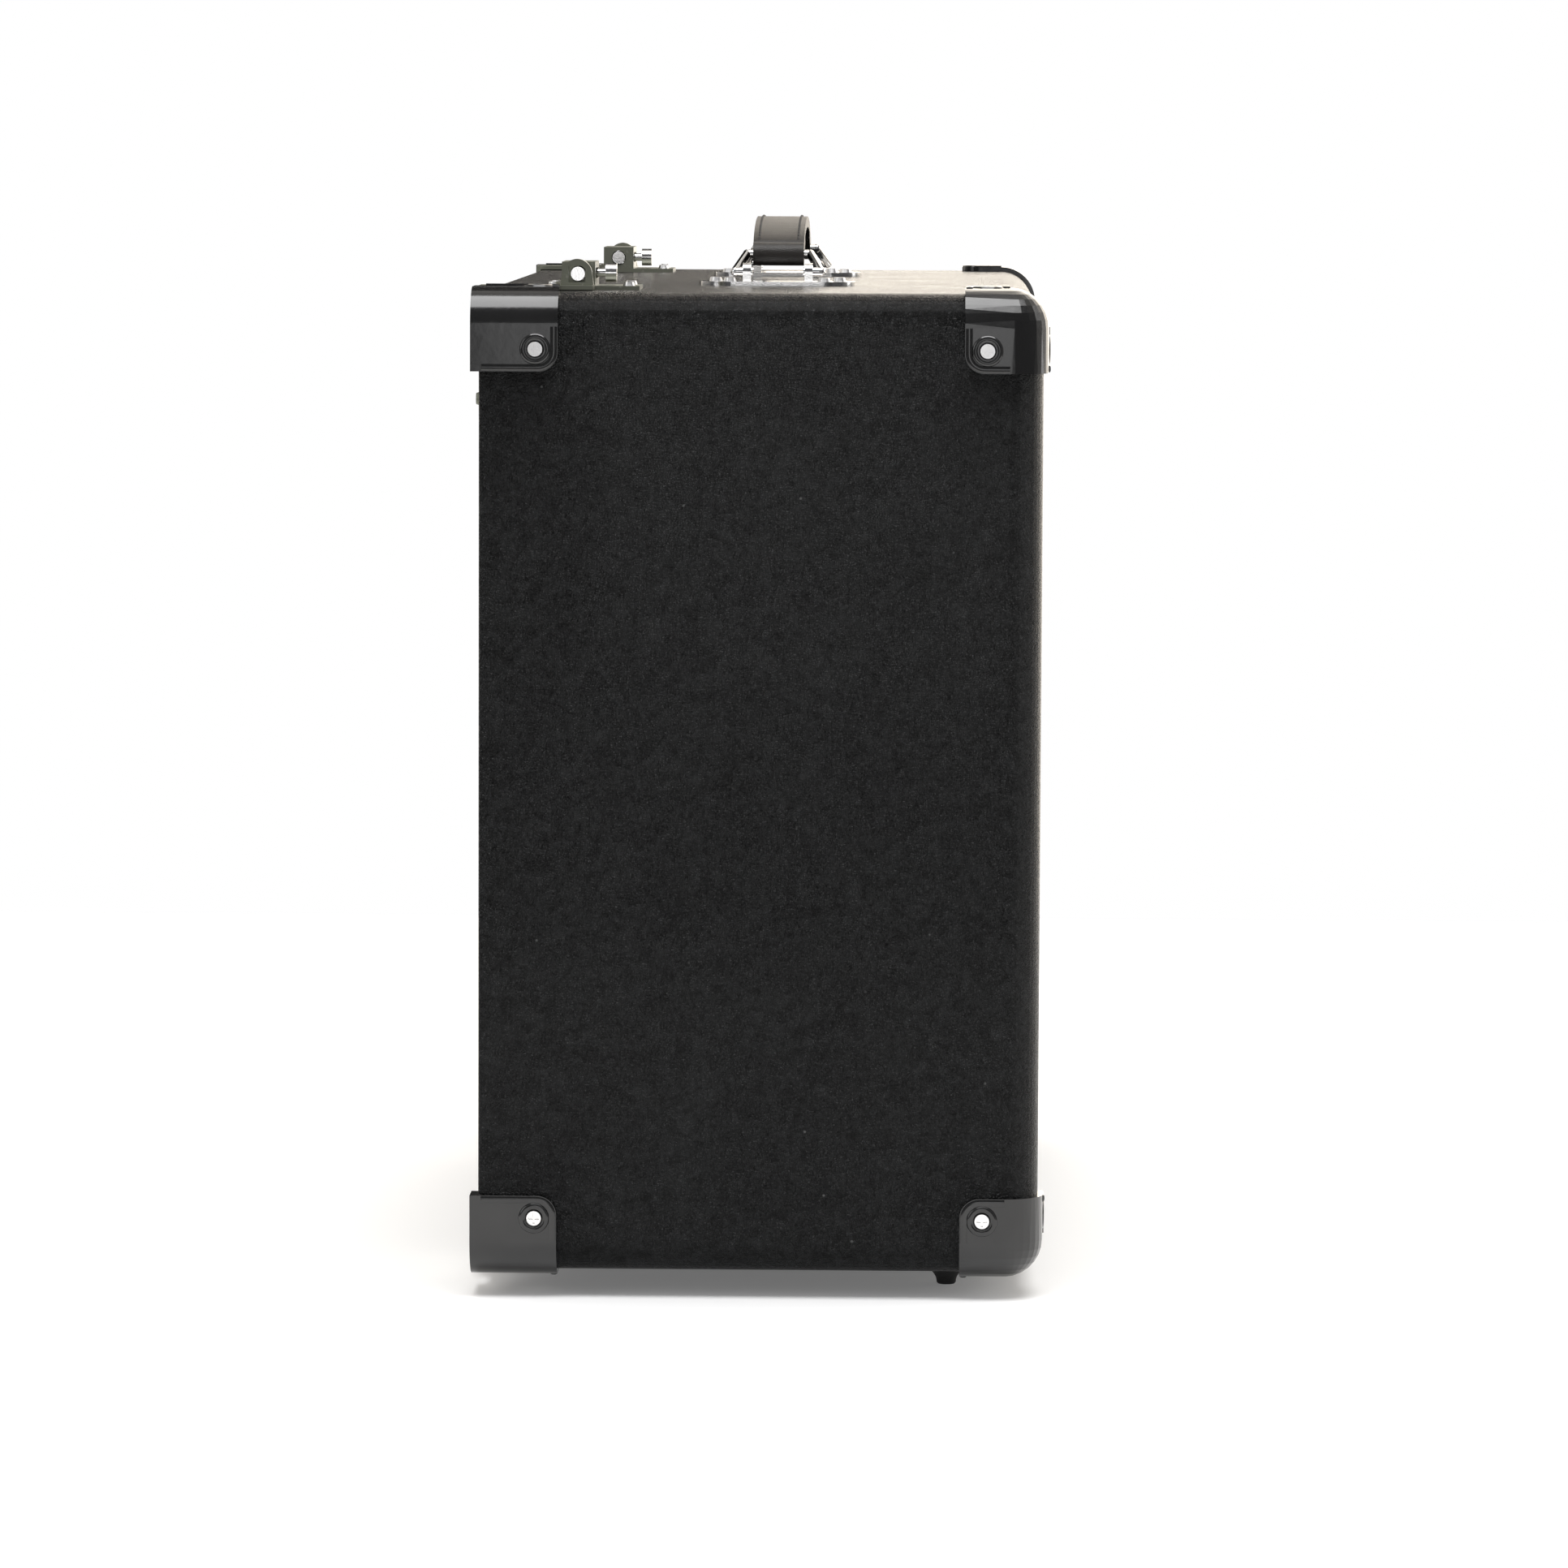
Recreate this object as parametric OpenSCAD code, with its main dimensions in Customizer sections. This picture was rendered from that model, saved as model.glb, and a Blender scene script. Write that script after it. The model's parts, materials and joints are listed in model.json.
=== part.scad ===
// Poker chip case: a leatherette-covered wooden case that stands on rubber feet,
// with a drop-down front lid, two sliding bolts, a folding-ring handle and lift-out chip trays.
// Millimetres. +Z up, floor at Z=0, lid on the -X side, length along Y.

/* [Body] */
// Depth of the body from the lid face to the back
body_w = 200; // [190:1:220]
// Length of the body along the handle
body_l = 450; // [440:1:480]
// Height of the body without its feet
body_h = 350; // [340:1:370]
// Thickness of the wooden boards
board_t = 9; // [8:0.5:10]
// Thickness of the leatherette cover
cover_t = 1; // [0.8:0.1:1.5]
// Rounding of the outer edges
edge_r = 12; // [10:0.5:14]
// Gap round the lid in its opening
lid_gap = 1; // [0.8:0.1:1.5]

/* [Corners] */
// Reach of a corner protector along each edge
corner_reach = 28; // [26:1:32]
// Thickness of a corner protector
corner_t = 1.8; // [1.5:0.1:2.2]
// Diameter of the corner screws' heads
screw_head = 6.2; // [5:0.1:7]

/* [Feet] */
// Height of a foot
foot_h = 9; // [7:0.5:12]
// Diameter of a foot where it meets the case
foot_d = 22; // [18:1:26]
// Diameter of a foot at its tip
foot_tip_d = 6; // [5:0.5:10]

/* [Handle] */
// Width of the strap
strap_w = 19; // [16:1:22]
// Thickness of the strap
strap_t = 4; // [3:0.5:4.5]
// Distance between the two handle plates, centre to centre
handle_span = 176; // [160:2:200]
// Diameter of the ring wire
ring_wire = 3.2; // [2.8:0.1:3.6]
// Height of the strap's underside above the case
strap_rise = 20.5; // [17:0.5:22]
// Offset of the handle from the middle, towards the back
handle_offset = 2.5; // [0:0.5:5]

/* [Lid and latches] */
// Distance between the two hinges
hinge_span = 300; // [240:10:320]
// Length of each hinge
hinge_l = 60; // [50:2:70]
// Distance between the two bolts
bolt_span = 376; // [366:2:378]
// Travel of a bolt
bolt_travel = 12; // [10:1:13]

/* [Trays] */
// Diameter of a poker chip
chip_d = 40; // [39:0.5:41]
// Rows of chips in a tray
tray_rows = 5; // [4:1:5]
// Length of a row of chips
row_l = 345; // [330:5:350]

/* [Hidden] */
$fn = 48;
shell_fn = 30;
// the hinge knuckles stand out further than the back corners do
body_shift = 1.95;
x_front = -body_w / 2 + body_shift;
x_back = body_w / 2 + body_shift;
y_end = body_l / 2;
z_bot = foot_h;
z_top = foot_h + body_h;
wall_t = board_t + cover_t;
in_y = y_end - wall_t;
in_z0 = z_bot + wall_t;
in_z1 = z_top - wall_t;
in_x1 = x_back - wall_t;
lining_t = 1.5;
clear = 0.3;
eps = 0.01;
screw_r = 1.6;
fit_gap = 0.02;
head_t = 1.4;
corner_sink = 0.8;
flange_over = 4;
flange_tip_r = 7;
lip_t = 3;
boss_up = 0.4;

lid_board_t = 9;
lid_skin_t = 1;
lid_pad_t = 4;
lid_y = in_y - lid_gap;
lid_z0 = in_z0 + lid_gap;
lid_z1 = in_z1 - lid_gap;
lid_in_x = x_front + lid_skin_t + lid_board_t + lid_pad_t;

pin_r = 1.5;
pin_gap = 0.05;
knuckle_r = 2.9;
leaf_t = 1.2;
hinge_x = x_front - knuckle_r - 0.3;
hinge_z = in_z0 + lid_gap / 2;
knuckles = 5;

bolt_x = x_front + 33;
bolt_r = 2.5;
bolt_z = z_top + 5.8;
bolt_len = 30;

ring_r = ring_wire / 2;
ring_top_w = strap_w + 4.6;
ring_foot_w = 32;
ring_reach = 15;
ring_lean = 25;
elbow_over = 0.06;
plate_t = 1.5;
plate_l = 58;
plate_w = 24;
lug_r = 3.2;
lug_x = 10;
lug_t = 3;
ring_z = z_top + plate_t + lug_r + 0.2;
ring_y = handle_span / 2 - 8;
loop_y = ring_y - ring_reach * cos(ring_lean);
loop_z = ring_z + ring_reach * sin(ring_lean);
strap_x = body_shift + handle_offset;
strap_end_r = ring_r + 0.5;
loop_leather = 2.2;
loop_slack = 2.8;

tray_gap = 1;
tray_wall = 3;
groove_r = chip_d / 2 + 0.7;
groove_pitch = 2 * groove_r + 2.6;
tray_y = in_y - lining_t - tray_gap;
tray_z0 = in_z0 + lining_t + tray_gap;
tray_z1 = in_z1 - lining_t - tray_gap;
tray_t = chip_d + 7;
groove_x = groove_r + 1.5;
groove_y0 = -tray_y + tray_wall;
card_z0 = tray_z0 + tray_wall + tray_rows * groove_pitch;
side_y0 = groove_y0 + row_l + tray_wall;
outer_x0 = lid_in_x + 5;
inner_x0 = outer_x0 + tray_t + tray_gap;
bay_x0 = inner_x0 + tray_t + tray_gap;
bay_x1 = in_x1 - lining_t - tray_gap;

foot_right_x = 67.5 + body_shift;
foot_right_y = 184;
foot_left_x = -67 + body_shift;
foot_left_y = 130;

// ---------- shared shapes ----------

// Rounded body outline, inset from the outside, with its front edges left square.
module body_block(inset) {
    r = edge_r - inset;
    hull() {
        for (y = [-1, 1], z = [0, 1]) {
            translate([x_back - inset - r, y * (y_end - inset - r),
                       z == 0 ? z_bot + inset + r : z_top - inset - r])
                sphere(r, $fn = shell_fn);
            translate([x_front + inset, y * (y_end - inset - r),
                       z == 0 ? z_bot + inset + r : z_top - inset - r])
                rotate([0, 90, 0]) cylinder(r = r, h = 1, $fn = shell_fn);
        }
    }
}

module span(x0, x1, y0, y1, z0, z1) {
    translate([x0, y0, z0]) cube([x1 - x0, y1 - y0, z1 - z0]);
}

// Pan-head wood screw with a crossed recess: its head stands on Z=0, or sinks below it.
module wood_screw(head_d, length, shank_r = screw_r, sink = 0) {
    difference() {
        union() {
            translate([0, 0, -sink]) cylinder(r1 = head_d / 2, r2 = head_d / 2 - 0.5, h = head_t);
            translate([0, 0, -length]) cylinder(r = shank_r, h = length - sink + eps);
        }
        for (a = [0, 90]) rotate([0, 0, a])
            translate([-head_d * 0.3, -0.4, head_t - sink - 0.9]) cube([head_d * 0.6, 0.8, 2]);
    }
}

// ---------- carcass ----------

module board_top() color("tan")
    intersection() {
        body_block(cover_t);
        span(x_front, x_back, -y_end, y_end, in_z1, z_top);
    }

module board_bottom() color("tan")
    difference() {
        intersection() {
            body_block(cover_t);
            span(x_front, x_back, -y_end, y_end, z_bot, in_z0);
        }
        at_feet() translate([0, 0, z_bot - 1]) cylinder(r = screw_r, h = 12);
    }

module end_board(side)
    intersection() {
        body_block(cover_t);
        span(x_front, x_back, side > 0 ? in_y : -y_end, side > 0 ? y_end : -in_y, in_z0, in_z1);
    }

module board_near_end() color("tan") end_board(-1);

module board_far_end() color("tan") end_board(1);

module board_back() color("tan")
    intersection() {
        body_block(cover_t);
        span(in_x1, x_back, -in_y, in_y, in_z0, in_z1);
    }

// Leatherette over the whole outside, turned over the rim of the opening.
module cover_shell() color([0.14, 0.14, 0.15])
    difference() {
        body_block(0);
        body_block(cover_t);
        span(x_front - 1, x_front + 2, -in_y, in_y, in_z0, in_z1);
        at_feet() translate([0, 0, z_bot - 1]) cylinder(r = screw_r, h = 12);
    }

module lining() color([0.10, 0.10, 0.11])
    difference() {
        span(lid_in_x + 2, in_x1, -in_y, in_y, in_z0, in_z1);
        span(lid_in_x, in_x1 - lining_t, -in_y + lining_t, in_y - lining_t,
            in_z0 + lining_t, in_z1 - lining_t);
    }

// ---------- corner protectors ----------

// Local corner: the body's corner at the origin, the body reaching into +X, +Y and +Z.
// A back corner wraps three rounded edges.
module back_corner_form(out, reach) {
    r = edge_r + out;
    hull() {
        translate([edge_r, edge_r, edge_r]) sphere(r, $fn = shell_fn);
        translate([reach, edge_r, edge_r]) rotate([0, 90, 0]) cylinder(r = r, h = edge_r);
        translate([edge_r, reach, edge_r]) rotate([-90, 0, 0]) cylinder(r = r, h = edge_r);
        translate([edge_r, edge_r, reach]) cylinder(r = r, h = edge_r);
    }
}

// A front corner wraps one rounded edge, along X, and covers the rim with a flat flange.
module front_corner_form(out, x0, reach) {
    r = edge_r + out;
    translate([x0, edge_r, edge_r]) rotate([0, 90, 0]) cylinder(r = r, h = reach - x0);
    span(x0, reach, edge_r, reach, -out, reach);
    span(x0, reach, -out, reach, edge_r, reach);
}

// The space that a corner's flanges fill, with rounded tips.
module flange_outline(tip) {
    side = corner_reach + flange_over;
    difference() {
        square(side);
        translate([side - tip, side - tip]) difference() {
            square(tip + 1);
            circle(tip);
        }
    }
}

module flange_reach(three) {
    translate([-flange_over, -flange_over, -flange_over]) {
        translate([0, edge_r + flange_over, 0]) rotate([90, 0, 0])
            linear_extrude(edge_r + flange_over) flange_outline(flange_tip_r);
        linear_extrude(edge_r + flange_over) flange_outline(flange_tip_r);
        if (three) rotate([90, 0, 90])
            linear_extrude(edge_r + flange_over) flange_outline(flange_tip_r);
    }
}

// Screw places on a corner: end face, top face and, on a round corner, the back face.
module at_corner_screws(is_round) {
    seat = corner_reach - 8;
    translate([seat, -corner_t, seat]) rotate([90, 0, 0]) children();
    translate([seat, seat, -corner_t]) rotate([180, 0, 0]) children();
    if (is_round) translate([-corner_t, seat, seat]) rotate([0, -90, 0]) children();
}

module corner_shell(is_round) {
    if (is_round) intersection() {
        difference() {
            back_corner_form(corner_t, corner_reach);
            back_corner_form(fit_gap, corner_reach + edge_r);
        }
        flange_reach(true);
    } else {
        intersection() {
            difference() {
                front_corner_form(corner_t, -lip_t, corner_reach + edge_r);
                front_corner_form(fit_gap, -lip_t - 1, corner_reach + 2 * edge_r);
            }
            flange_reach(false);
        }
        // lip over the rim of the opening
        difference() {
            front_corner_form(corner_t, -lip_t, corner_reach);
            front_corner_form(fit_gap - wall_t, -lip_t - 1, corner_reach + 2 * edge_r);
            span(-fit_gap, 2 * corner_reach, -corner_reach, 2 * corner_reach, -corner_reach, 2 * corner_reach);
        }
    }
}

module corner(is_round)
    difference() {
        union() {
            corner_shell(is_round);
            at_corner_screws(is_round) translate([0, 0, -corner_t + fit_gap])
                cylinder(r = screw_head / 2 + 2, h = corner_t + boss_up);
        }
        at_corner_screws(is_round) {
            translate([0, 0, -5]) cylinder(r = screw_r, h = 10);
            translate([0, 0, -corner_sink]) cylinder(r = screw_head / 2 + 0.25, h = 4);
        }
    }

// Put a local corner at one of the eight places: fx, fy and fz are +1 or -1.
module place_corner(fx, fy, fz) {
    translate([fx * body_w / 2 + body_shift, fy * body_l / 2, fz > 0 ? z_top : z_bot])
        mirror([fx > 0 ? 1 : 0, 0, 0]) mirror([0, fy > 0 ? 1 : 0, 0]) mirror([0, 0, fz > 0 ? 1 : 0])
            children();
}

module corner_near_top_front() color([0.04, 0.04, 0.045]) place_corner(-1, -1, 1) corner(false);
module corner_near_bottom_front() color([0.04, 0.04, 0.045]) place_corner(-1, -1, -1) corner(false);
module corner_far_top_front() color([0.04, 0.04, 0.045]) place_corner(-1, 1, 1) corner(false);
module corner_far_bottom_front() color([0.04, 0.04, 0.045]) place_corner(-1, 1, -1) corner(false);
module corner_near_top_back() color([0.04, 0.04, 0.045]) place_corner(1, -1, 1) corner(true);
module corner_near_bottom_back() color([0.04, 0.04, 0.045]) place_corner(1, -1, -1) corner(true);
module corner_far_top_back() color([0.04, 0.04, 0.045]) place_corner(1, 1, 1) corner(true);
module corner_far_bottom_back() color([0.04, 0.04, 0.045]) place_corner(1, 1, -1) corner(true);

module corner_screws() color("silver")
    for (fx = [-1, 1], fy = [-1, 1], fz = [-1, 1])
        place_corner(fx, fy, fz) at_corner_screws(fx > 0) wood_screw(screw_head, 9, screw_r, corner_sink);

// ---------- feet ----------

module at_feet() {
    for (s = [-1, 1]) {
        translate([foot_right_x, s * foot_right_y, 0]) children();
        translate([foot_left_x, s * foot_left_y, 0]) children();
    }
}

module rubber_feet() color([0.05, 0.05, 0.05])
    at_feet() difference() {
        rotate_extrude() polygon([
            [0, 0], [foot_tip_d / 2, 0], [foot_tip_d / 2 + 0.5, 0.6],
            for (i = [1 : 8]) [foot_tip_d / 2 + 0.5 + (foot_d / 2 - foot_tip_d / 2 - 0.5) * pow(i / 8, 2.2),
                0.6 + (foot_h - 1.6) * i / 8],
            [foot_d / 2, foot_h], [0, foot_h]]);
        translate([0, 0, 3]) cylinder(r = screw_r, h = foot_h);
        translate([0, 0, -1]) cylinder(r = 2.2, h = 4.8);
    }

module foot_screws() color("silver")
    at_feet() {
        translate([0, 0, 2.4]) cylinder(r = 2.1, h = 1.2);
        translate([0, 0, 3]) cylinder(r = screw_r, h = foot_h + 5);
    }

// ---------- handle ----------

module at_plates() for (s = [-1, 1]) translate([strap_x, s * handle_span / 2, z_top])
    mirror([0, s > 0 ? 0 : 1, 0]) children();

plate_screws = [[17.5, 5], [-17.5, 5], [23, -4.5], [-23, -4.5]];
module at_plate_screws() at_plates()
    for (p = plate_screws) translate([p[0], p[1], plate_t]) children();

module handle_plates() color("silver")
    at_plates() difference() {
        union() {
            for (e = [-1, 1]) translate([e * (plate_l - plate_w) / 2, 0, 0])
                cylinder(d = plate_w, h = plate_t);
            translate([-(plate_l - plate_w) / 2, -plate_w / 2, 0])
                cube([plate_l - plate_w, plate_w, plate_t]);
            // two lugs that hold the ring's pivot ends
            for (e = [-1, 1]) translate([e > 0 ? lug_x : -lug_x - lug_t, ring_y - handle_span / 2, 0]) {
                translate([0, -lug_r, plate_t - eps]) cube([lug_t, 2 * lug_r, ring_z - z_top - plate_t]);
                translate([0, 0, ring_z - z_top]) rotate([0, 90, 0]) cylinder(r = lug_r, h = lug_t);
            }
        }
        translate([-ring_foot_w, ring_y - handle_span / 2, ring_z - z_top]) rotate([0, 90, 0])
            cylinder(r = ring_r + pin_gap, h = 2 * ring_foot_w);
        for (p = plate_screws) translate([p[0], p[1], -3]) cylinder(r = screw_r, h = 6);
    }

module handle_plate_screws() color("silver")
    at_plate_screws() wood_screw(5, 9);

// Ring leaning from its pivot towards the middle of the handle and up.
module ring(side) {
    flare = (ring_foot_w - ring_top_w) / 2;
    leg = sqrt(ring_reach * ring_reach + flare * flare);
    translate([strap_x, side * ring_y, ring_z]) mirror([0, side > 0 ? 0 : 1, 0])
        rotate([-ring_lean, 0, 0]) {
            for (e = [-1, 1]) {
                translate([e > 0 ? lug_x - 0.5 : -ring_foot_w / 2, 0, 0]) rotate([0, 90, 0])
                    cylinder(r = ring_r, h = ring_foot_w / 2 - lug_x + 0.5);
                translate([e * ring_foot_w / 2, 0, 0]) sphere(ring_r + elbow_over);
                translate([e * ring_foot_w / 2, 0, 0]) rotate([90, 0, 0]) rotate([0, -e * atan(flare / ring_reach), 0])
                    cylinder(r = ring_r, h = leg);
                translate([e * ring_top_w / 2, -ring_reach, 0]) sphere(ring_r + elbow_over);
            }
            translate([-ring_top_w / 2, -ring_reach, 0]) rotate([0, 90, 0])
                cylinder(r = ring_r, h = ring_top_w);
        }
}

module ring_near() color("silver") ring(-1);
module ring_far() color("silver") ring(1);

// Centre line of the strap, as a height for each place along Y.
strap_steps = 40;
loop_out_r = strap_end_r + loop_leather;
strap_end_z = loop_z + strap_end_r + loop_leather / 2;
strap_top_z = z_top + strap_rise + strap_t / 2;
fold_l = 20;
function strap_bulge(y) = 1 - pow(y / loop_y, 2);
function strap_z(y) = strap_end_z + (strap_top_z - strap_end_z) * pow(max(0, strap_bulge(y)), 0.7);
function strap_half(y) = (loop_leather + (strap_t - loop_leather) * sqrt(max(0, strap_bulge(y)))) / 2;
function strap_y(i) = -loop_y * cos(180 * i / strap_steps);

module strap_grip_outline()
    polygon([
        for (i = [0 : strap_steps]) [strap_y(i), strap_z(strap_y(i)) + strap_half(strap_y(i))],
        for (i = [strap_steps : -1 : 0]) [strap_y(i), strap_z(strap_y(i)) - strap_half(strap_y(i))]]);

// Slotted loop: the ring's bar can run outwards in it as the strap lifts.
module loop_outline(s, r) {
    hull() for (y = [loop_y, loop_y + loop_slack]) translate([s * y, loop_z]) circle(r);
}

// Leather strap: an arched grip whose ends fold round the rings and are stitched under it.
module strap() color([0.09, 0.08, 0.07])
    translate([strap_x - strap_w / 2, 0, 0]) rotate([90, 0, 90])
        linear_extrude(strap_w) offset(delta = eps) difference() {
            union() {
                strap_grip_outline();
                for (s = [-1, 1]) {
                    loop_outline(s, loop_out_r);
                    polygon([[s * loop_y, loop_z - loop_out_r + 0.05], [s * loop_y, loop_z + loop_out_r - 0.05],
                        [s * (loop_y - fold_l), strap_z(loop_y - fold_l)],
                        [s * (loop_y - fold_l), strap_z(loop_y - fold_l) - strap_t]]);
                }
            }
            for (s = [-1, 1]) loop_outline(s, strap_end_r);
        }

// ---------- lid ----------

module lid_board() color("tan")
    difference() {
        span(x_front + lid_skin_t, x_front + lid_skin_t + lid_board_t, -lid_y, lid_y, lid_z0, lid_z1);
        at_lid_hinge_screws() translate([0, 0, -8]) cylinder(r = screw_r - 0.3, h = 8);
    }

module lid_cover() color([0.14, 0.14, 0.15])
    difference() {
        span(x_front, x_front + lid_skin_t, -lid_y, lid_y, lid_z0, lid_z1);
        at_lid_hinge_screws() translate([0, 0, -8]) cylinder(r = screw_r - 0.3, h = 10);
    }

module lid_pad() color([0.10, 0.10, 0.11])
    span(x_front + lid_skin_t + lid_board_t, lid_in_x, -lid_y + 3, lid_y - 3, lid_z0 + 3, lid_z1 - 3);

// ---------- hinges ----------

module at_hinges() for (s = [-1, 1]) translate([0, s * hinge_span / 2, 0]) children();

module hinge_knuckles(first)
    for (i = [first : 2 : knuckles - 1])
        translate([hinge_x, -hinge_l / 2 + hinge_l * i / knuckles + 0.2, hinge_z]) rotate([-90, 0, 0])
            difference() {
                cylinder(r = knuckle_r, h = hinge_l / knuckles - 0.4);
                if (first == 1) translate([0, 0, -1]) cylinder(r = pin_r + pin_gap, h = hinge_l);
                else translate([0, 0, -1]) cylinder(r = pin_r, h = hinge_l);
            }

leaf_gap = knuckle_r + clear;
module hinge_leaf(first, z0, z1) {
    hinge_knuckles(first);
    for (i = [first : 2 : knuckles - 1])
        span(hinge_x + 1.6, x_front - eps, -hinge_l / 2 + hinge_l * i / knuckles + 0.2,
            -hinge_l / 2 + hinge_l * (i + 1) / knuckles - 0.2,
            first == 0 ? hinge_z - leaf_gap - 0.2 : hinge_z + 1, first == 0 ? hinge_z - 1 : hinge_z + leaf_gap + 0.2);
    span(x_front - leaf_t, x_front, -hinge_l / 2, hinge_l / 2, z0, z1);
}

hinge_screw_step = 22;
body_leaf_z = z_bot + 0.5;
lid_leaf_z = hinge_z + 26;

module at_body_hinge_screws() at_hinges()
    for (a = [-1, 0, 1]) translate([x_front - leaf_t, a * hinge_screw_step, z_bot + 3.6])
        rotate([0, -90, 0]) children();

module at_lid_hinge_screws() at_hinges()
    for (a = [-1, 0, 1]) translate([x_front - leaf_t, a * hinge_screw_step, lid_leaf_z - (a == 0 ? 6 : 12)])
        rotate([0, -90, 0]) children();

module hinge_leaves_body() color("silver")
    difference() {
        at_hinges() hinge_leaf(0, body_leaf_z, hinge_z - leaf_gap);
        at_body_hinge_screws() translate([0, 0, -5]) cylinder(r = screw_r - 0.3, h = 8);
    }

module hinge_leaves_lid() color("silver")
    difference() {
        at_hinges() hinge_leaf(1, hinge_z + leaf_gap, lid_leaf_z);
        at_lid_hinge_screws() translate([0, 0, -5]) cylinder(r = screw_r - 0.3, h = 8);
    }

module hinge_pins() color("silver")
    at_hinges() translate([hinge_x, -hinge_l / 2 - 0.5, hinge_z]) rotate([-90, 0, 0]) {
        cylinder(r = pin_r, h = hinge_l + 1);
        for (z = [-0.8, hinge_l + 0.6]) translate([0, 0, z]) cylinder(r = 2.3, h = 1.2);
    }

module hinge_screws_body() color("silver")
    at_body_hinge_screws() wood_screw(4.6, 8, screw_r - 0.3);

module hinge_screws_lid() color("silver")
    at_lid_hinge_screws() wood_screw(4.6, 8, screw_r - 0.3);

// ---------- latches ----------

hasp_t = 1.5;
hasp_w = 16;
hasp_drop = 34;
hasp_z = z_top + clear;
hasp_x1 = bolt_x + 6;
staple_w = 4;
staple_r = 5.4;
eye_half = bolt_r + 0.5;

module at_bolts() for (s = [-1, 1]) translate([0, s * bolt_span / 2, 0]) children();

// Angled plate from the lid's face over the rim, with an eye that the bolt enters.
module hasps() color("silver")
    difference() {
        at_bolts() {
            span(x_front - clear - hasp_t, x_front - clear, -hasp_w / 2, hasp_w / 2,
                lid_z1 - hasp_drop, hasp_z + hasp_t);
            span(x_front - clear - eps, x_front, -hasp_w / 2, hasp_w / 2, lid_z1 - hasp_drop, lid_z1 - 2);
            span(x_front - clear - eps, hasp_x1, -hasp_w / 2, hasp_w / 2, hasp_z, hasp_z + hasp_t);
            difference() {
                hull() {
                    span(bolt_x - 6, bolt_x + 6, -staple_w / 2, staple_w / 2, hasp_z, hasp_z + 1);
                    translate([bolt_x, -staple_w / 2, bolt_z]) rotate([-90, 0, 0])
                        cylinder(r = staple_r, h = staple_w);
                }
                span(bolt_x - eye_half, bolt_x + eye_half, -staple_w, staple_w,
                    bolt_z - eye_half, bolt_z + eye_half);
            }
        }
        at_hasp_screws() translate([0, 0, -8]) cylinder(r = screw_r - 0.2, h = 12);
    }

module at_hasp_screws() at_bolts()
    for (z = [8, 24]) translate([x_front - clear - hasp_t, 0, lid_z1 - hasp_drop + z - 2])
        rotate([0, -90, 0]) children();

module hasp_screws() color("silver")
    at_hasp_screws() wood_screw(5, 9, screw_r - 0.2);

// The near bolt's housing sits inboard of the staple; the far one is its mirror image.
house_y0 = 9;
house_l = 30;

module at_housing(side) translate([bolt_x, side * bolt_span / 2, 0])
    mirror([0, side > 0 ? 1 : 0, 0]) children();

module bolt_housings() color([0.35, 0.36, 0.32])
    for (s = [-1, 1]) at_housing(s) difference() {
        union() {
            span(-12, 22, house_y0, house_y0 + house_l, z_top, z_top + 1.4);
            span(-6, 6, house_y0, house_y0 + house_l, z_top, z_top + 10);
        }
        translate([0, house_y0 - 1, bolt_z]) rotate([-90, 0, 0]) cylinder(r = bolt_r + 0.35, h = house_l + 2);
        // slot for the thumb knob
        span(-bolt_r - 0.35, 20, house_y0 + 4, house_y0 + house_l - 4, bolt_z - 1.9, bolt_z + 1.9);
        at_housing_screws() translate([0, 0, -5]) cylinder(r = screw_r - 0.2, h = 8);
    }

module at_housing_screws()
    for (p = [[-9, house_y0 + 4], [-9, house_y0 + house_l - 4], [18, house_y0 + 4], [18, house_y0 + house_l - 4]])
        translate([p[0], p[1], z_top + 1.4]) children();

module bolt_housing_screws() color("silver")
    for (s = [-1, 1]) at_housing(s) at_housing_screws() wood_screw(4.4, 8, screw_r - 0.2);

// Bolt at rest is withdrawn: its tip stands clear of the hasp's eye.
bolt_y0 = staple_w / 2 + 1.5 + 1;
knob_y = house_y0 + 4 + 1.7 + bolt_travel + 0.6;

module slide_bolt() {
    translate([0, bolt_y0, bolt_z]) rotate([-90, 0, 0]) cylinder(r = bolt_r, h = bolt_len + 5);
    translate([0, knob_y, bolt_z]) rotate([0, 90, 0]) cylinder(r = 1.5, h = 11);
    translate([9, knob_y, bolt_z]) rotate([0, 90, 0]) cylinder(r = 3.4, h = 4);
}

module bolt_near() color("silver") at_housing(-1) slide_bolt();
module bolt_far() color("silver") at_housing(1) slide_bolt();

// ---------- trays ----------

// Lift-out tray, open towards the lid: rows for chips on edge, a card well above them
// and a side well at the far end.
module tray(x0) {
    difference() {
        span(x0, x0 + tray_t, -tray_y, tray_y, tray_z0, tray_z1);
        for (i = [0 : tray_rows - 1])
            translate([x0, groove_y0, tray_z0 + tray_wall + groove_pitch * (i + 0.5)]) {
                translate([groove_x, 0, 0]) rotate([-90, 0, 0]) cylinder(r = groove_r, h = row_l);
                translate([-1, 0, -groove_r]) cube([groove_x + 1, row_l, 2 * groove_r]);
            }
        span(x0 - 1, x0 + tray_t - tray_wall, groove_y0, groove_y0 + row_l, card_z0 + tray_wall, tray_z1 - tray_wall);
        span(x0 - 1, x0 + tray_t - tray_wall, side_y0, tray_y - tray_wall, tray_z0 + tray_wall, tray_z1 - tray_wall);
    }
}

module tray_inner() color([0.12, 0.12, 0.13]) tray(inner_x0);
module tray_outer() color([0.12, 0.12, 0.13]) tray(outer_x0);

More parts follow.
